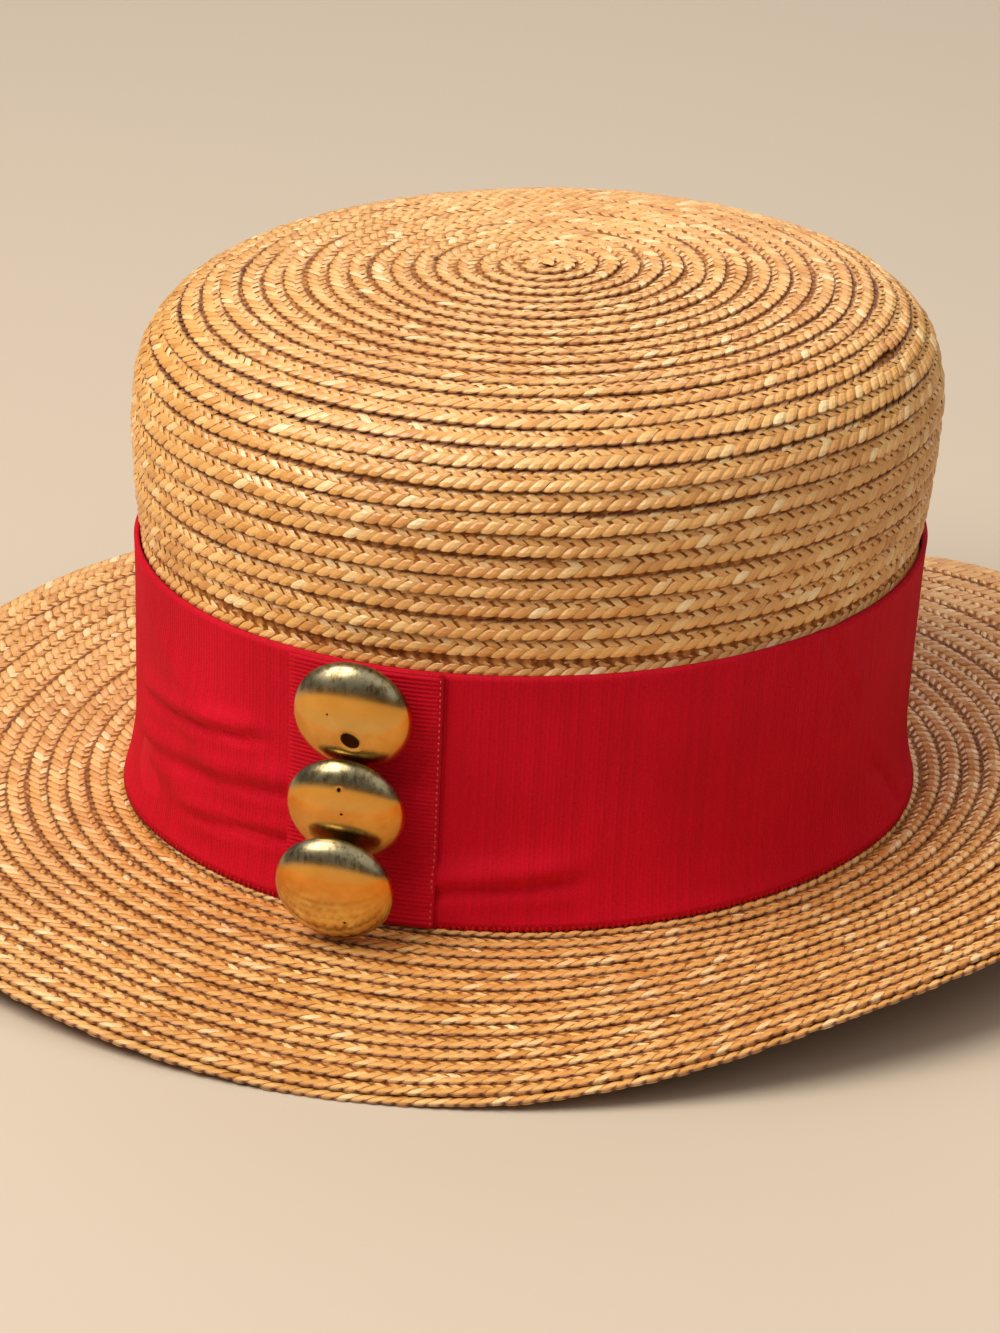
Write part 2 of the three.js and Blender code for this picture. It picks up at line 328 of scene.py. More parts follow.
def make_splint(name, width, tilt, across, path):
    """A closed strip of straw along a path, a little arched across its width."""
    path = np.array(path)
    slope = unit(np.gradient(path[:, 1:3], axis=0))
    outward = np.stack([-slope[:, 1], slope[:, 0]], -1)
    length = np.concatenate([[0], np.cumsum(np.linalg.norm(np.diff(path, axis=0), axis=1))])
    work = bmesh.new()
    uv = work.loops.layers.uv.new("UVMap")
    up = work.verts.layers.float.new("up")
    grid, mapped = [], {}
    for centre, out, run in zip(path, outward, length):
        line = []
        for w in np.linspace(-1, 1, across):
            rise = (tilt * w - centre[3] * w * w) * out
            x, y, z = centre[0] + w * width / 2, centre[1] + rise[0], centre[2] + rise[1]
            corner = work.verts.new(Vector((x, y, z)) * MM)
            mapped[corner] = (run, w * width / 2)
            corner[up] = centre[1]
            line.append(corner)
        grid.append(line)
    for low, high in zip(grid, grid[1:]):
        for j in range(across - 1):
            work.faces.new((low[j], low[j + 1], high[j + 1], high[j]))
    left, right = [line[0] for line in grid], [line[-1] for line in grid]
    rim = grid[0] + right[1:] + grid[-1][-2::-1] + left[-2:0:-1]
    back = work.faces.new(rim[::-1])
    for edge in back.edges:
        edge.smooth = False
    for face in work.faces:
        for corner in face.loops:
            corner[uv].uv = mapped[corner.vert]
    mesh = mesh_from_work(name, work)
    print(f"splint {name}: {len(mesh.polygons)} faces")
    return make_object(name, mesh)


splint_shapes = {name: make_splint(name, **shape) for name, shape in SPLINTS.items()}

# %% [markdown]
# The tree takes the three splints, the unevenness, the stretch and the material as named inputs. Its
# seeds are fixed, so the hat comes out the same every time. It ends by making the instances real,
# because an export drops them.

# %% A Geometry Nodes tree that weaves splints onto points
SHIFTS = (-0.14, -0.05, -0.04), (0.14, 0.07, 0.06)  # least and most, multiplied by Unevenness
SPINS = (-0.03, -0.03, -0.045), (0.03, 0.03, 0.045)  # in radians
GROWTHS = (0.93, 0.96, 0.75), (1.06, 1.04, 1.25)


def new_tree(name, inputs):
    tree = bpy.data.node_groups.new(name, "GeometryNodeTree")
    tree.interface.new_socket("Geometry", in_out="INPUT", socket_type="NodeSocketGeometry")
    for label, kind in inputs:
        tree.interface.new_socket(label, in_out="INPUT", socket_type="NodeSocket" + kind)
    tree.interface.new_socket("Geometry", in_out="OUTPUT", socket_type="NodeSocketGeometry")
    return tree


def fill(tree, node, sockets):
    """Sets a node's inputs by name or by number, to values or to sockets to link from."""
    for key, value in sockets.items():
        if isinstance(value, bpy.types.NodeSocket):
            tree.links.new(value, node.inputs[key])
        else:
            node.inputs[key].default_value = value


def add(tree, kind, sockets=None, **settings):
    node = tree.nodes.new(kind)
    for label, value in settings.items():
        setattr(node, label, value)
    fill(tree, node, sockets or {})
    return node


def stored_direction(tree, name):
    return add(tree, "GeometryNodeInputNamedAttribute", data_type="FLOAT_VECTOR", sockets={
        "Name": name}).outputs[0]


def turned_to_surface(tree):
    """The rotation that puts an instance's X along the stored direction and its Z out of the surface."""
    return add(tree, "FunctionNodeAxesToRotation", primary_axis="Z", secondary_axis="X", sockets={
        "Primary Axis": stored_direction(tree, "facing"),
        "Secondary Axis": stored_direction(tree, "along")}).outputs[0]


def end_tree(tree, geometry, finish):
    real = add(tree, "GeometryNodeRealizeInstances", sockets={"Geometry": geometry})
    dressed = add(tree, "GeometryNodeSetMaterial", sockets={
        "Geometry": real.outputs[0], "Material": finish})
    out = tree.nodes.new("NodeGroupOutput")
    tree.links.new(dressed.outputs[0], out.inputs[0])


def random_vector(tree, low, high, seed):
    return add(tree, "FunctionNodeRandomValue", data_type="FLOAT_VECTOR", sockets={
        "Min": low, "Max": high, "Seed": seed}).outputs["Value"]


def weave_tree():
    names = list(SPLINTS)
    tree = new_tree("weave", [(name, "Object") for name in names] + [
        ("Unevenness", "Float"), ("Stretch", "Vector"), ("Finish", "Material")])
    given = tree.nodes.new("NodeGroupInput").outputs
    turned = turned_to_surface(tree)
    joined = tree.nodes.new("GeometryNodeJoinGeometry")
    for number, name in enumerate(names):
        seed = 10 * number
        shape = add(tree, "GeometryNodeObjectInfo", sockets={"Object": given[name]}).outputs["Geometry"]
        made = add(tree, "GeometryNodeInstanceOnPoints", sockets={
            "Points": given["Geometry"], "Instance": shape, "Rotation": turned})
        shift = add(tree, "ShaderNodeVectorMath", operation="SCALE", sockets={
            0: random_vector(tree, *SHIFTS, seed + 1), "Scale": given["Unevenness"]}).outputs[0]
        moved = add(tree, "GeometryNodeTranslateInstances", sockets={
            "Instances": made.outputs[0], "Translation": shift})
        spun = add(tree, "GeometryNodeRotateInstances", sockets={
            "Instances": moved.outputs[0], "Rotation": random_vector(tree, *SPINS, seed + 2)})
        size = add(tree, "ShaderNodeVectorMath", operation="MULTIPLY", sockets={
            0: random_vector(tree, *GROWTHS, seed + 3), 1: given["Stretch"]}).outputs[0]
        sized = add(tree, "GeometryNodeScaleInstances", sockets={
            "Instances": spun.outputs[0], "Scale": size})
        tone = add(tree, "FunctionNodeRandomValue", data_type="FLOAT", sockets={"Seed": seed + 4})
        toned = add(tree, "GeometryNodeStoreNamedAttribute", data_type="FLOAT", domain="INSTANCE",
                    sockets={"Geometry": sized.outputs[0], "Name": "tone", "Value": tone.outputs[1]})
        tree.links.new(toned.outputs[0], joined.inputs[0])
    end_tree(tree, joined.outputs[0], given["Finish"])
    return tree


# %% Grow a tree on points, and place the points of the braid
def grow(seedling, tree, settings, name):
    """Runs the tree on an object, keeps the result as a plain mesh and removes the object."""
    modifier = seedling.modifiers.new("grow", "NODES")
    modifier.node_group = tree
    for item in tree.interface.items_tree:
        if item.in_out == "INPUT" and item.name in settings:
            modifier[item.identifier] = settings[item.name]
    graph = bpy.context.evaluated_depsgraph_get()
    mesh = bpy.data.meshes.new_from_object(seedling.evaluated_get(graph))
    seedling.modifiers.clear()
    bpy.data.objects.remove(seedling)
    mesh.name = name
    piece = make_object(name, mesh)
    print(name + ":", sum(len(face.vertices) - 2 for face in mesh.polygons), "triangles")
    return piece


def scale_values(piece, name, factor):
    layer = piece.data.attributes[name].data
    values = np.empty(len(layer), np.float32)
    layer.foreach_get("value", values)
    layer.foreach_set("value", values * factor)


def make_points(name, points, **directions):
    mesh = bpy.data.meshes.new(name)
    mesh.from_pydata((points * MM).tolist(), [], [])
    for label, values in directions.items():
        mesh.attributes.new(label, "FLOAT_VECTOR", "POINT").data.foreach_set("vector", values.ravel())
    return make_object(name, mesh)


def braid_cells(rows, low, high):
    """Points on the lower edge of the braid, one for each cell, between two distances."""
    angle, distance, tuck, run = spiral(rows)
    cells = np.arange(0, run[-1], CELL)
    angle, distance, tuck = (np.interp(cells, run, v) for v in (angle, distance, tuck))
    wanted = (distance >= low) & (distance < high)
    angle, distance, tuck = angle[wanted], distance[wanted], tuck[wanted]
    point, along, across, normal = surface_frame(rows["surface"], distance, angle)
    slope = row_step(rows, distance) / rows["row"]
    return point + normal * (EDGE_DEPTH - tuck)[:, None], along, unit(normal - slope[:, None] * across)


# %% [markdown]
# Straw is a smooth, slightly waxy stem. Each splint has its own tone between pale cream and burnt
# orange, with fine streaks along its length. The tone comes from the weave and the streaks from each
# splint's own map. Where one row dips under the next, shade falls, so the straw there is painted brown
# as that shade, and made duller. So each splint also carries how far up the row its points lie, and the
# painted shade darkens it at both ends of that range. At the lower end the painted shade reaches further
# up between two beads, which makes the line along every turn a dotted one. The strip under the splints
# has a woven relief of its own, because it is all that shows from inside the crown and from under the
# brim. Its hollows are painted darker as shade, and so is its outer face, which shows only in the
# shaded gaps between the splints.

# %% Small helpers for materials
def new_material(name, base):
    material = bpy.data.materials.new(name)
    material.use_nodes = True
    material.diffuse_color = (*base, 1)
    tree = material.node_tree
    return material, tree, tree.nodes["Principled BSDF"]


def ramp(tree, source, stops):
    node = tree.nodes.new("ShaderNodeValToRGB")
    elements = node.color_ramp.elements
    while len(elements) < len(stops):
        elements.new(0.5)
    for element, (level, colour) in zip(elements, stops):
        element.position = level
        element.color = (*colour, 1)
    tree.links.new(source, node.inputs[0])
    return node.outputs[0]


def grey_ramp(tree, source, stops):
    return ramp(tree, source, [(level, (grey,) * 3) for level, grey in stops])


def noise(tree, vector, scale, detail=2.0, roughness=0.5):
    return add(tree, "ShaderNodeTexNoise", sockets={
        "Vector": vector, "Scale": scale, "Detail": detail, "Roughness": roughness}).outputs[0]


def random_grey(tree, dimensions, socket, source):
    """A random number that is the same wherever the source is the same."""
    return add(tree, "ShaderNodeTexWhiteNoise", noise_dimensions=dimensions, sockets={
        socket: source}).outputs["Value"]


def one_axis(tree, vector, number):
    return add(tree, "ShaderNodeSeparateXYZ", sockets={0: vector}).outputs[number]


def math_node(tree, operation, a, b=0.0):
    return add(tree, "ShaderNodeMath", operation=operation, sockets={0: a, 1: b}).outputs[0]


def mix_colour(tree, kind, share, a, b):
    return add(tree, "ShaderNodeMix", data_type="RGBA", blend_type=kind, sockets={
        0: share, 6: a, 7: b}).outputs[2]


def tinted(tree, colour, tint):
    return mix_colour(tree, "MULTIPLY", 1.0, colour, tint)


def stretch(tree, vector, scale):
    return add(tree, "ShaderNodeMapping", sockets={"Vector": vector, "Scale": scale}).outputs[0]


def bump(tree, height, strength, distance):
    return add(tree, "ShaderNodeBump", sockets={
        "Strength": strength, "Distance": distance, "Height": height}).outputs[0]


# %% Straw materials
STRAW_TONES = [
    (0.0, (0.62, 0.28, 0.062)), (0.1, (0.72, 0.365, 0.096)), (0.5, (0.79, 0.435, 0.136)),
    (0.84, (0.83, 0.5, 0.178)), (0.93, (0.89, 0.59, 0.25)), (1.0, (0.94, 0.73, 0.41)),
]
# Painted shade: where one row dips under the next, the straw is darkened brown at both ends of the row,
# and further up between two beads.
UNDER_EDGE = 0.1  # share of the row left for what hangs below the braid's edge
NOTCH = 0.13  # share of the row that the brown reaches further up between two beads
PAINTED_GROOVE_SHADE = [  # share of the row, colour that the straw is multiplied by
    (0.0, (0.2, 0.1, 0.05)), (0.09, (1, 1, 1)), (0.84, (1, 1, 1)), (0.97, (0.24, 0.12, 0.055)),
]
DUST = [(0.0, 0.8), (0.08, 0.32), (0.84, 0.32), (0.97, 0.8)]  # share of the row, roughness
FIBRE_SCALE = (0.45, 3.4, 1.0)
FIBRE_SHIFT = 90.0


def straw_fibres(tree, uv, tone):
    """Fine streaks along a splint, in another place on each one."""
    shift = add(tree, "ShaderNodeCombineXYZ", sockets={2: math_node(tree, "MULTIPLY", tone, FIBRE_SHIFT)})
    shifted = add(tree, "ShaderNodeVectorMath", operation="ADD", sockets={
        0: stretch(tree, uv, FIBRE_SCALE), 1: shift.outputs[0]})
    return noise(tree, shifted.outputs[0], 1.0, 3.0)


def row_level(tree, uv):
    """How far up the row a point lies, with less between two beads than on the middle of one."""
    up = add(tree, "ShaderNodeAttribute", attribute_name="up").outputs["Fac"]
    beside = math_node(tree, "DIVIDE", math_node(tree, "ABSOLUTE", one_axis(tree, uv, 1)), CELL / 2)
    notch = math_node(tree, "MULTIPLY", math_node(tree, "POWER", beside, 4.0), NOTCH)
    return math_node(tree, "SUBTRACT", math_node(tree, "ADD", up, UNDER_EDGE), notch)


def make_straw_splints():
    material, tree, shader = new_material("straw splints", (0.68, 0.38, 0.13))
    where = tree.nodes.new("ShaderNodeTexCoord").outputs
    tone = add(tree, "ShaderNodeAttribute", attribute_name="tone").outputs["Fac"]
    patches = noise(tree, where["Object"], 26.0, 3.0)
    patch_colour = ramp(tree, patches, [(0.3, (0.9, 0.8, 0.68)), (0.7, (1.06, 1.05, 1.02))])
    colour = tinted(tree, ramp(tree, tone, STRAW_TONES), patch_colour)
    fibres = straw_fibres(tree, where["UV"], tone)
    fibre_colour = ramp(tree, fibres, [(0.3, (0.86, 0.79, 0.7)), (0.62, (1.05, 1.04, 1.03))])
    colour = mix_colour(tree, "MULTIPLY", 0.8, colour, fibre_colour)
    level = row_level(tree, where["UV"])
    # Painted shade: dark brown at both ends of the row, where one row dips under the next.
    colour = tinted(tree, colour, ramp(tree, level, PAINTED_GROOVE_SHADE))
    fill(tree, shader, {
        "Base Color": colour, "Roughness": grey_ramp(tree, level, DUST), "Specular IOR Level": 0.8,
        "Normal": bump(tree, fibres, 0.35, 0.0002)})
    return material


def make_straw_strip():
    material, tree, shader = new_material("straw strip", (0.4, 0.2, 0.06))
    uv = tree.nodes.new("ShaderNodeTexCoord").outputs["UV"]
    run, back = one_axis(tree, uv, 0), one_axis(tree, uv, 1)
    rises = math_node(tree, "DIVIDE", math_node(tree, "ADD", run, back), CELL)
    falls = math_node(tree, "DIVIDE", math_node(tree, "SUBTRACT", run, back), CELL)
    waves = [math_node(tree, "PINGPONG", v, 0.5) for v in (rises, falls)]
    relief = math_node(tree, "MULTIPLY", *waves)
    cell = add(tree, "ShaderNodeCombineXYZ", sockets={
        0: math_node(tree, "FLOOR", rises), 1: math_node(tree, "FLOOR", falls)}).outputs[0]
    colour = ramp(tree, random_grey(tree, "3D", "Vector", cell), [
        (0.0, (0.33, 0.14, 0.035)), (0.5, (0.5, 0.25, 0.075)), (1.0, (0.66, 0.38, 0.14))])
    # Painted shade: the hollows of the woven relief are darkened.
    hollow_painted_shade = ramp(tree, relief, [(0.0, (0.5, 0.38, 0.28)), (0.1, (1, 1, 1))])
    colour = tinted(tree, colour, hollow_painted_shade)
    # Painted shade: the outer face, which shows only in the shaded gaps between splints and rows, is made
    # darker and browner than the inner face.
    outer_face_painted_shade = math_node(tree, "GREATER_THAN", back, 0.05)
    colour = mix_colour(tree, "MULTIPLY", outer_face_painted_shade, colour, (1.0, 0.78, 0.56, 1))
    fill(tree, shader, {
        "Base Color": colour, "Roughness": 0.6, "Specular IOR Level": 0.15,
        "Normal": bump(tree, relief, 1.0, 0.0008)})
    return material


straw_splints = make_straw_splints()
straw_strip = make_straw_strip()
for strip in (crown_braid, brim_braid):
    strip.data.materials.append(straw_strip)

# %% [markdown]
# The crown and the brim are woven in two parts each, so that no piece has too many triangles. On the
# crown the weave stops just below the ribbon's upper edge, because nothing shows under the ribbon.

# %% Weave the crown and the brim
RIBBON_WIDTH = 61
UNDER_RIBBON = 4
CROWN_SHOWS = CROWN_LENGTH - RIBBON_WIDTH + UNDER_RIBBON
CROWN_SPLIT = 100
BRIM_SPLIT = 43
BRIM_START = 2.2
BRIM_END = 99  # a distance past the brim's edge
WOVEN = [  # name, rows, from and to which distance, and how far the splints are stretched across the row
    ("crown_tip_splints", CROWN_ROWS, 0, CROWN_SPLIT, 1.06),
    ("crown_side_splints", CROWN_ROWS, CROWN_SPLIT, CROWN_SHOWS, 1.0),
    ("brim_inner_splints", BRIM_ROWS, BRIM_START, BRIM_SPLIT, 1.15),
    ("brim_outer_splints", BRIM_ROWS, BRIM_SPLIT, BRIM_END, 1.15),
]


def weave():
    tree = weave_tree()
    made = []
    for name, rows, low, high, across in WOVEN:
        points, along, facing = braid_cells(rows, low, high)
        seedling = make_points(name + "_cells", points, along=along, facing=facing)
        settings = {**splint_shapes, "Unevenness": MM, "Stretch": (1, across, 1), "Finish": straw_splints}
        piece = grow(seedling, tree, settings, name)
        scale_values(piece, "up", across / rows["row"])
        made.append(piece)
    for helper in splint_shapes.values():
        bpy.data.objects.remove(helper)
    return made


splints = weave()

# %% [markdown]
# The ribbon is grosgrain: a cloth with fine ribs straight across it. On the band the ribs stand
# upright, and on the tab they lie level, because the tab is the same ribbon turned. At this size the
# ribs are real relief. The soft creases come from a short table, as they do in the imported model.

# %% The ribbon's sizes and folds
RIBBON_THICK = 1.0
RIB = 1.02
BAND_LIFT = 2 * SEAT_GAP
TAB_WIDTH = 36.5
TAB_BEARING = -113.2
TAB_CLEARANCE = 1.6 * SEAT_GAP

FOLDS = [  # centre in degrees, share up the ribbon, span in degrees, breadth, slant, rise in mm
    (-146, 0.66, 26, 0.1, -0.3, 1.5), (-141, 0.44, 22, 0.07, -0.28, 1.0),
    (-150, 0.25, 30, 0.09, -0.25, 1.2), (-93, 0.2, 18, 0.09, 0.1, 0.9), (-38, 0.5, 14, 0.3, 0.3, 0.6),
    (60, 0.4, 26, 0.12, 0.2, 0.9), (128, 0.6, 24, 0.1, -0.2, 1.0), (-22, 0.0, 38, 0.15, 0, 1.5),
    (-165, 0.0, 30, 0.16, 0, 1.3),
]
CREASES = [  # bearing and share up the ribbon at both ends, breadth and height in mm
    (-158, 0.5, -134, 0.58, 1.6, 1.7), (-160, 0.29, -127, 0.4, 2.1, 1.3),
    (-143, 0.17, -126, 0.22, 1.5, 1.3), (-102, 0.13, -86, 0.17, 2.1, 1.6), (-44, 0.93, -38, 0.7, 1.8, 0.6),
    (-30, 0.3, -22, 0.1, 2.4, 0.8), (40, 0.4, 62, 0.5, 2.4, 0.8), (118, 0.6, 140, 0.5, 2.4, 0.9),
]
CREASE_SECTION = [  # height, middle and half width of two swells and a hollow, as shares of the crease
    (0.8, 1.8, 1.4), (0.3, -1.6, 1.2), (-0.65, 0.0, 0.7),
]
CREASE_FADE = 7  # how far past its ends a crease fades
RIBBON_FOOT = 0.35
wall_rows = np.array([row for row in CROWN_OUTLINE if row[0] < 0.8]) * (CROWN_HEIGHT, CROWN_RADIUS)


def wall_radius(height):
    return smooth(wall_rows[:, 0], wall_rows[:, 1], height)


def band_inside(up):
    return wall_radius(up * RIBBON_WIDTH + SEAT_GAP) + SEAT_GAP


def fold_rise(bearing, up):
    rise = 0 * bearing * up
    for centre, middle, span, breadth, slant, height in FOLDS:
        along = (bearing - centre) / (span / 2)
        across = (up - middle - slant * along / 2) / breadth
        rise = rise + height * np.exp(-along * along - across * across)
    return rise


def place(bearing, radius, height):
    angle = np.radians(bearing)
    x = radius * np.cos(angle) + CROWN_LEAN * height
    return np.stack([x, radius * np.sin(angle), BRIM_STAND + height + 0 * bearing], -1)


def crease_rise(bearing, up):
    """The cloth bulges on both sides of a crease and sinks along it."""
    rise = 0 * bearing * up
    for start, low, end, high, breadth, height in CREASES:
        run = math.radians(end - start) * CROWN_RADIUS
        climb = (high - low) * RIBBON_WIDTH
        length = math.hypot(run, climb)
        along = np.radians(bearing - start) * CROWN_RADIUS
        above = (up - low) * RIBBON_WIDTH
        share = (along * run + above * climb) / length**2
        side = (above * run - along * climb) / length / breadth
        beyond = np.maximum(np.maximum(-share, share - 1), 0) * length
        shape = sum(size * np.exp(-(((side - middle) / half) ** 2))
                    for size, middle, half in CREASE_SECTION)
        rise = rise + height * shape * np.exp(-((beyond / CREASE_FADE) ** 2))
    return rise


# %% The band and the tab
FACE_THICK = RIBBON_THICK - 0.1
BACK_INSET = 0.3
BACK_LEVELS = np.array([1.0, 0.66, 0.33, 0.0])
BAND_GIRTH = math.tau * (CROWN_RADIUS + 1)
BAND_RIBS = round(BAND_GIRTH / RIB)
BAND_RELIEF = 0.09
BAND_COLUMNS = 3  # for each rib
BAND_ROWS = 41
TAB_HALF = math.degrees(TAB_WIDTH / 2 / CROWN_RADIUS)
TAB_RIBS = round(RIBBON_WIDTH / RIB)
TAB_RELIEF = 0.13
TAB_COLUMNS = 25
TAB_ROWS = 4  # for each rib
TAB_END_SINK = 0.4


def ribbon_grid(bearings, ups, radius, ribs):
    """Points of a wall of ribbon: up its face, then down its plain back."""
    bearing, up = np.meshgrid(bearings, ups, indexing="ij")
    height = RIBBON_FOOT + up * RIBBON_WIDTH
    face = place(bearing, radius(bearing, up) + FACE_THICK + ribs(bearing, up), height)
    bearing, up = np.meshgrid(bearings, BACK_LEVELS, indexing="ij")
    back = place(bearing, radius(bearing, up) - BACK_INSET, RIBBON_FOOT + up * RIBBON_WIDTH)
    return np.concatenate([face, back], 1)


def ribbon_map(across, ups):
    """Millimetres across the hat and up the ribbon, for the same grid."""
    return np.stack(np.broadcast_arrays(across[:, None], np.r_[ups, BACK_LEVELS] * RIBBON_WIDTH), -1)


def band_radius(bearing, up):
    return band_inside(up) + fold_rise(bearing, up) + crease_rise(bearing, up)


def band_ribs(bearing, up):
    return BAND_RELIEF * np.cos(np.radians(bearing) * BAND_RIBS)


def make_band():
    bearings = np.linspace(-180, 180, BAND_RIBS * BAND_COLUMNS, endpoint=False)
    ups = np.linspace(0, 1, BAND_ROWS)
    points = ribbon_grid(bearings, ups, band_radius, band_ribs)
    uv = ribbon_map(bearings / 360 * BAND_GIRTH, ups)
    band = skin_from_grid("grosgrain_band", points, uv, loop_rows=True)
    print("band:", BAND_RIBS, "ribs,", 2 * len(band.data.polygons), "triangles")
    return band


def tab_radius(bearing, up):
    return band_inside(up) + fold_rise(bearing, up) + RIBBON_THICK + TAB_CLEARANCE


def tab_ribs(bearing, up):
    ends = np.abs(2 * up - 1) > 0.99
    return TAB_RELIEF * np.cos(math.tau * TAB_RIBS * up) - TAB_END_SINK * ends


def make_tab():
    bearings = np.linspace(TAB_BEARING - TAB_HALF, TAB_BEARING + TAB_HALF, TAB_COLUMNS)
    ups = np.linspace(0, 1, TAB_RIBS * TAB_ROWS + 1)
    points = ribbon_grid(bearings, ups, tab_radius, tab_ribs)
    uv = ribbon_map((bearings - bearings[0]) / (2 * TAB_HALF) * TAB_WIDTH, ups)
    tab = skin_from_grid("grosgrain_tab", points, uv, caps=True)
    print("tab:", TAB_RIBS, "ribs,", 2 * len(tab.data.polygons), "triangles")
    return tab


band = make_band()
tab = make_tab()

# %% [markdown]
# The dye is a little uneven over the ribbon and from one rib to the next. The fine threads that cross
# the ribs are too small for geometry, so they are a bump.

# %% Ribbon material
def make_grosgrain(name, threads, ribs_along):
    material, tree, shader = new_material(name, (0.62, 0.002, 0.012))
    where = tree.nodes.new("ShaderNodeTexCoord").outputs
    fine = noise(tree, stretch(tree, where["UV"], threads), 1.0, 2.0)
    soft = noise(tree, where["Object"], 30.0, 3.0)
    colour = ramp(tree, soft, [(0.3, (0.51, 0.001, 0.01)), (0.7, (0.61, 0.002, 0.016))])
    threads_colour = ramp(tree, fine, [(0.3, (0.86, 0.8, 0.8)), (0.7, (1.08, 1.1, 1.1))])
    colour = tinted(tree, colour, threads_colour)
    rib = math_node(tree, "DIVIDE", one_axis(tree, where["UV"], ribs_along), RIB)
    each_rib = random_grey(tree, "1D", "W", math_node(tree, "FLOOR", rib))
    rib_colour = ramp(tree, each_rib, [(0.0, (0.94, 0.92, 0.92)), (1.0, (1.04, 1.06, 1.06))])
    colour = tinted(tree, colour, rib_colour)
    fill(tree, shader, {
        "Base Color": colour, "Roughness": 0.7, "Specular IOR Level": 0.25,
        "Specular Tint": (1.0, 0.5, 0.7, 1), "Normal": bump(tree, fine, 0.5, 0.0002)})
    return material


band.data.materials.append(make_grosgrain("red grosgrain, upright", (0.98, 3.2, 1.0), 0))
tab.data.materials.append(make_grosgrain("red grosgrain, level", (3.2, 0.98, 1.0), 1))

# %% [markdown]
# Two small things repeat on the ribbon: the tiny loops of thread along the band's lower edge, and the
# stitches down the tab's right side. One Geometry Nodes tree makes both, from a row of points and a
# low ball that is stretched into a loop or a stitch.

# %% Edge loops and stitches
LOOPS = 396
LOOP_SIZE = (1.45, 1.7, 0.9)
STITCH_PITCH = 1.5
STITCH_INSET = 0.5
STITCH_SIZE = (0.75, 0.4, 0.4)
FIRST_STITCH = 1.2
LAST_STITCH = 0.8  # least distance from the ribbon's upper edge
STITCH_SPINS = (-0.1, -0.1, -0.15), (0.1, 0.1, 0.15)  # in radians


def make_ball():
    work = bmesh.new()
    bmesh.ops.create_uvsphere(work, u_segments=7, v_segments=4, radius=0.5)
    mesh = mesh_from_work("ball", work)
    mesh.shade_smooth()
    return make_object("ball", mesh)


def stitch_tree():
    tree = new_tree("stitch", [("Thread", "Object"), ("Size", "Vector"), ("Finish", "Material")])
    given = tree.nodes.new("NodeGroupInput").outputs
    shape = add(tree, "GeometryNodeObjectInfo", sockets={"Object": given["Thread"]}).outputs["Geometry"]
    made = add(tree, "GeometryNodeInstanceOnPoints", sockets={
        "Points": given["Geometry"], "Instance": shape, "Rotation": turned_to_surface(tree)})
    spun = add(tree, "GeometryNodeRotateInstances", sockets={
        "Instances": made.outputs[0], "Rotation": random_vector(tree, *STITCH_SPINS, 5)})
    sized = add(tree, "GeometryNodeScaleInstances", sockets={
        "Instances": spun.outputs[0], "Scale": given["Size"]})
    end_tree(tree, sized.outputs[0], given["Finish"])
    return tree


def thread_material(name, base):
    material, tree, shader = new_material(name, base)
    twist = noise(tree, tree.nodes.new("ShaderNodeTexCoord").outputs["Object"], 900.0, 2.0)
    colour = ramp(tree, twist, [(0.3, tuple(0.75 * c for c in base)), (0.7, base)])
    fill(tree, shader, {"Base Color": colour, "Roughness": 0.75, "Specular IOR Level": 0.15})
    return material


def ribbon_points(name, bearing, up, proud, along):
    """Points on the ribbon's face, facing out; along is across the hat or up the ribbon."""
    bearing, up = np.broadcast_arrays(np.asarray(bearing, float), np.asarray(up, float))
    points = place(bearing, band_radius(bearing, up) + proud, RIBBON_FOOT + up * RIBBON_WIDTH)
    angle = np.radians(bearing)
    facing = np.stack([np.cos(angle), np.sin(angle), 0 * angle], -1)
    level = np.stack([-np.sin(angle), np.cos(angle), 0 * angle], -1)
    upright = np.tile([0.0, 0.0, 1.0], (len(level), 1))
    return make_points(name, points, facing=facing, along=level if along == "level" else upright)


def make_trims():
    tree = stitch_tree()
    ball = make_ball()
    red = thread_material("red thread", (0.5, 0.002, 0.01))
    pale = thread_material("pale red thread", (0.66, 0.1, 0.08))
    turns = np.linspace(-180, 180, LOOPS, endpoint=False)
    points = ribbon_points("edge_loops_points", turns, 0.0, RIBBON_THICK / 2, "level")
    settings = {"Thread": ball, "Size": tuple(x * MM for x in LOOP_SIZE), "Finish": red}
    made = [grow(points, tree, settings, "edge_loops")]
    edge = TAB_BEARING + math.degrees((TAB_WIDTH / 2 - STITCH_INSET) / CROWN_RADIUS)
    ups = np.arange(FIRST_STITCH, RIBBON_WIDTH - LAST_STITCH, STITCH_PITCH) / RIBBON_WIDTH
    points = ribbon_points("tab_stitches_points", edge, ups, 2 * RIBBON_THICK + TAB_CLEARANCE, "upright")
    settings = {"Thread": ball, "Size": tuple(x * MM for x in STITCH_SIZE), "Finish": pale}
    made.append(grow(points, tree, settings, "tab_stitches"))
    bpy.data.objects.remove(ball)
    return made


trims = make_trims()

# %% [markdown]
# Each button is a stamped brass dome. It is turned on an axis, as on a lathe: a smooth dome, a rolled
# rim, a flat back and a hidden shank. The three overlap like scales, so each has its own height,
# distance from the tab and tip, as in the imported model. The top one has a dark oval dent, and there are
# a few small pits: the dome sinks there, and an attribute tells the brass where to turn dark.

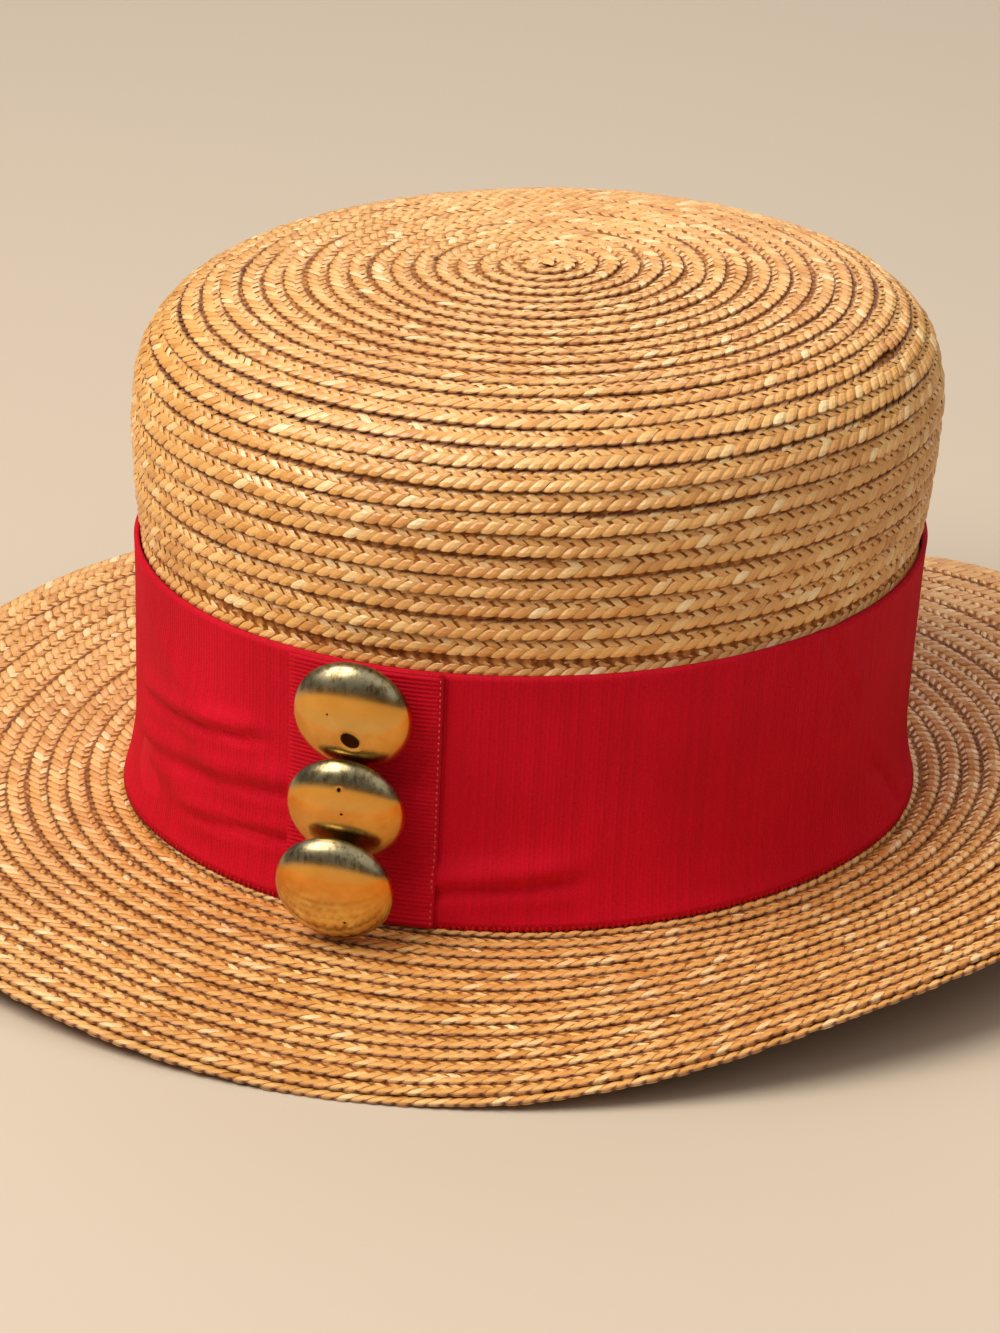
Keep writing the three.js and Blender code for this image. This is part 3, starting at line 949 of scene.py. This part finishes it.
# %% A button's outline and marks
BUTTON_RADIUS = 13.6
BUTTON_DOME = 6.8
BUTTON_BEARING = -112.9
RIM_THICK = 1.0
RIM_LIP = 0.15
RIM_ROUND = [(0.9, RIM_THICK), (0.3, 0.75), (0.0, RIM_LIP)]  # in from the edge, down from the dome's foot
SHANK_RADIUS = 1.4
BUTTONS = [  # name, height and standoff as shares of the radius and the dome, degrees turned and tipped
    ("top", 3.78, 0.8, 7, 10), ("middle", 2.18, 1.15, 7.5, 15), ("bottom", 0.93, 1.88, 8, 14.5),
]
MARKS = {  # across and up from the dome's middle, half width and height, degrees turned, depth
    "top": [(1.0, -2.6, 2.3, 1.85, -40, 0.6), (-3.8, 3.6, 0.35, 0.3, 0, 0.08)],
    "middle": [(0.5, 9.3, 0.5, 0.5, 0, 0.12), (1.0, 3.6, 0.4, 0.35, 0, 0.1)],
    "bottom": [(3.5, -5.0, 0.4, 0.4, 0, 0.05)],
}
DOME_RINGS = 40
DOME_STEPS = 120


def button_profile(shank):
    """Radius and height of the outline, from the shank's end to the top of the dome."""
    rim = [(BUTTON_RADIUS - inset, -drop) for inset, drop in RIM_ROUND]
    turns = np.linspace(0, math.pi / 2, DOME_RINGS)
    dome = [(BUTTON_RADIUS * math.cos(t), RIM_LIP + (BUTTON_DOME - RIM_LIP) * math.sin(t)) for t in turns]
    return [(SHANK_RADIUS, -shank), (SHANK_RADIUS, -RIM_THICK), *rim, *dome[:-1]], (0, BUTTON_DOME)


def button_mark(name, across, above):
    """How dark a point of the dome is, from 0 to 2, and how deep it sinks in mm."""
    dark, deep = 0.0, 0.0
    for x, y, half_width, half_height, turned, depth in MARKS[name]:
        turn = math.radians(turned)
        u = ((across - x) * math.cos(turn) + (above - y) * math.sin(turn)) / half_width
        v = ((above - y) * math.cos(turn) - (across - x) * math.sin(turn)) / half_height
        dark = max(dark, 2 - math.hypot(u, v))
        deep = max(deep, depth * math.exp(-((u * u + v * v) ** 2)))
    return dark, deep


# %% Place and turn a button
def button_seat(above, standoff, turned, tipped):
    """The dome's middle, its directions outward, sideways and upward, and the shank's length."""
    height = BAND_LIFT + above * BUTTON_RADIUS
    standoff = standoff * BUTTON_DOME
    up = min(max((height - BAND_LIFT) / RIBBON_WIDTH, 0), 1)
    face = float(band_inside(up)) + 2 * RIBBON_THICK + TAB_CLEARANCE
    centre = Vector(place(np.float64(BUTTON_BEARING), face + standoff, height))
    facing, down = math.radians(BUTTON_BEARING + turned), math.radians(tipped)
    x, y = math.cos(down) * math.cos(facing), math.cos(down) * math.sin(facing)
    outward = Vector((x, y, -math.sin(down)))
    square = math.radians(BUTTON_BEARING)
    slope = outward.angle(Vector((math.cos(square), math.sin(square), 0)))
    shank = (standoff - SEAT_GAP) / math.cos(slope) - SHANK_RADIUS * math.tan(slope)
    side = Vector((0, 0, 1)).cross(outward).normalized()
    return centre, outward, side, outward.cross(side), shank


def make_button(name, *shape):
    centre, outward, side, upward, shank = button_seat(*shape)
    rings, tip = button_profile(shank)
    work = bmesh.new()
    spot = work.verts.layers.float.new("spot")

    def new_point(radius, turn, out):
        across, above = radius * math.cos(turn), radius * math.sin(turn)
        mark, depth = button_mark(name, across, above) if out > 0 else (0, 0)
        point = centre + side * across + upward * above + outward * (out - depth)
        corner = work.verts.new(point * MM)
        corner[spot] = mark
        return corner

    turns = [math.tau * k / DOME_STEPS for k in range(DOME_STEPS)]
    pairs = [(k, (k + 1) % DOME_STEPS) for k in range(DOME_STEPS)]
    circles = [[new_point(radius, turn, out) for turn in turns] for radius, out in rings]
    for low, high in zip(circles, circles[1:]):
        for k, following in pairs:
            work.faces.new((low[k], low[following], high[following], high[k]))
    for circle, (_, out) in ((circles[0], rings[0]), (circles[-1], tip)):
        pole = new_point(0, 0, out)
        for k, following in pairs:
            work.faces.new((circle[k], circle[following], pole))
    bmesh.ops.recalc_face_normals(work, faces=work.faces)
    mesh = mesh_from_work("brass_button_" + name, work)
    mesh.shade_smooth()
    return make_object(mesh.name, mesh)


# %% [markdown]
# Brass mirrors what is round it, so its colour needs three tones, two of them painted reflection. The
# upper side is painted grey, as a reflection of dim surroundings, with tarnish in its streaks, and it
# is a little rougher. The middle is gold. The lower side is painted paler, because the straw that it
# mirrors already turns it golden. Where the dent and the pits are, the metal is nearly black.

# %% Brass
def make_brass():
    material, tree, shader = new_material("polished brass", (0.8, 0.55, 0.2))
    where = tree.nodes.new("ShaderNodeTexCoord").outputs
    cloud = noise(tree, where["Object"], 120.0, 4.0, 0.6)
    gold = ramp(tree, cloud, [(0.35, (0.68, 0.32, 0.055)), (0.65, (0.78, 0.39, 0.08))])
    # Painted reflection: a paler tone for the lower side, which mirrors the golden straw.
    lower = ramp(tree, cloud, [(0.35, (0.58, 0.4, 0.13)), (0.65, (0.67, 0.48, 0.17))])
    # Painted reflection: a grey for the upper side, as the dim surroundings that it mirrors, with tarnish
    # streaks.
    painted_reflection_and_tarnish = ramp(tree, cloud, [(0.35, (0.27, 0.22, 0.115)), (0.65, (0.45, 0.38, 0.23))])
    streaks = noise(tree, stretch(tree, where["Object"], (1.0, 1.0, 0.3)), 700.0, 4.0, 0.7)
    tarnish = ramp(tree, streaks, [(0.38, (0.5, 0.42, 0.32)), (0.52, (1, 1, 1))])
    painted_reflection_and_tarnish = tinted(tree, painted_reflection_and_tarnish, tarnish)
    facing_up = one_axis(tree, where["Normal"], 2)
    # Painted reflection: upward-facing points take the grey and a little more roughness, and
    # downward-facing points take the paler tone.
    upper_painted_reflection = grey_ramp(tree, facing_up, [(0.16, 0), (0.32, 1)])
    colour = mix_colour(tree, "MIX", upper_painted_reflection, gold, painted_reflection_and_tarnish)
    facing_down = grey_ramp(tree, math_node(tree, "SUBTRACT", 0.1, facing_up), [(0.05, 0), (0.36, 1)])
    colour = mix_colour(tree, "MIX", facing_down, colour, lower)
    mark = add(tree, "ShaderNodeAttribute", attribute_name="spot").outputs["Fac"]
    dark = ramp(tree, math_node(tree, "SUBTRACT", mark, 0.5), [
        (0.42, (1, 1, 1)), (0.56, (0.05, 0.025, 0.015))])
    colour = tinted(tree, colour, dark)
    rough = add(tree, "ShaderNodeMapRange", sockets={
        0: cloud, 1: 0.3, 2: 0.7, 3: 0.17, 4: 0.25}).outputs[0]
    rough = math_node(tree, "ADD", rough, math_node(tree, "MULTIPLY", upper_painted_reflection, 0.08))
    fill(tree, shader, {"Base Color": colour, "Roughness": rough, "Metallic": 1.0})
    return material


brass = make_brass()
buttons = []
for name, *shape in BUTTONS:
    button = make_button(name, *shape)
    button.data.materials.append(brass)
    buttons.append((button, "button_" + name))
print("buttons:", [button.name for button, _ in buttons])

# %% [markdown]
# Every piece rides on the one body, and where it replaces an imported piece, that piece is hidden.


def fasten(piece, slot, *nodes):
    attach(piece, "root")
    if nodes:
        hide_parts(*nodes)


fasten(crown_braid, "straw", "crown")
fasten(brim_braid, "straw", "brim")
for piece in splints:
    fasten(piece, "straw")
for piece in trims:
    fasten(piece, "ribbon")
fasten(band, "ribbon", "ribbon_band")
fasten(tab, "ribbon", "ribbon_tab")
for button, node in buttons:
    fasten(button, "brass", node)

# %% [markdown]
# The floor is plain and pale. A large soft light from the upper left gives the beads their small
# highlights, and two weak ones lift the crown's far edge and the right side. The sky is bright overhead
# and dim near the horizon, because the polished domes show it: that dim zone is their dark band.

# %% Floor and light
FLOOR_COLOUR = (0.58, 0.475, 0.36)
FLOOR_CORNERS = [(-3, -2, 0), (3, -2, 0), (3, 1.35, 0), (-3, 1.35, 0)]
HAT_MIDDLE = Vector((0, 0, 0.06))
LIGHTS = [  # name, place and width in metres, power in watts, colour
    ("key light", (-0.85, -0.4, 1.42), 1.4, 32, (1.0, 0.95, 0.88)),
    ("back light", (0.15, 1.3, 1.15), 1.0, 4, (1.0, 0.97, 0.95)),
    ("fill light", (0.9, -0.6, 0.9), 1.6, 3, (1.0, 0.96, 0.92)),
]
SKY = [(0.0, 0.05), (0.3, 0.18), (0.7, 0.43), (1.0, 0.62)]  # height in the sky, brightness


def make_floor():
    mesh = bpy.data.meshes.new("floor")
    mesh.from_pydata(FLOOR_CORNERS, [], [(0, 1, 2, 3)])
    floor = make_object("floor", mesh)
    material, tree, shader = new_material("pale floor", FLOOR_COLOUR)
    fill(tree, shader, {"Base Color": (*FLOOR_COLOUR, 1), "Roughness": 0.6})
    mesh.materials.append(material)


def make_light(name, position, size, power, colour):
    data = bpy.data.lights.new(name, "AREA")
    data.shape = "DISK"
    data.size = size
    data.energy = power
    data.color = colour
    light = bpy.data.objects.new(name, data)
    light.location = position
    light.rotation_euler = (HAT_MIDDLE - Vector(position)).to_track_quat("-Z", "Y").to_euler()
    bpy.context.collection.objects.link(light)


def make_sky():
    """A plain studio: bright overhead and dim near the horizon."""
    world = bpy.data.worlds.new("sky")
    world.use_nodes = True
    tree = world.node_tree
    height = one_axis(tree, tree.nodes.new("ShaderNodeTexCoord").outputs["Generated"], 2)
    tree.links.new(grey_ramp(tree, height, SKY), tree.nodes["Background"].inputs["Color"])
    bpy.context.scene.world = world


make_floor()
make_sky()
for light in LIGHTS:
    make_light(*light)
bpy.context.scene.view_settings.view_transform = "Standard"
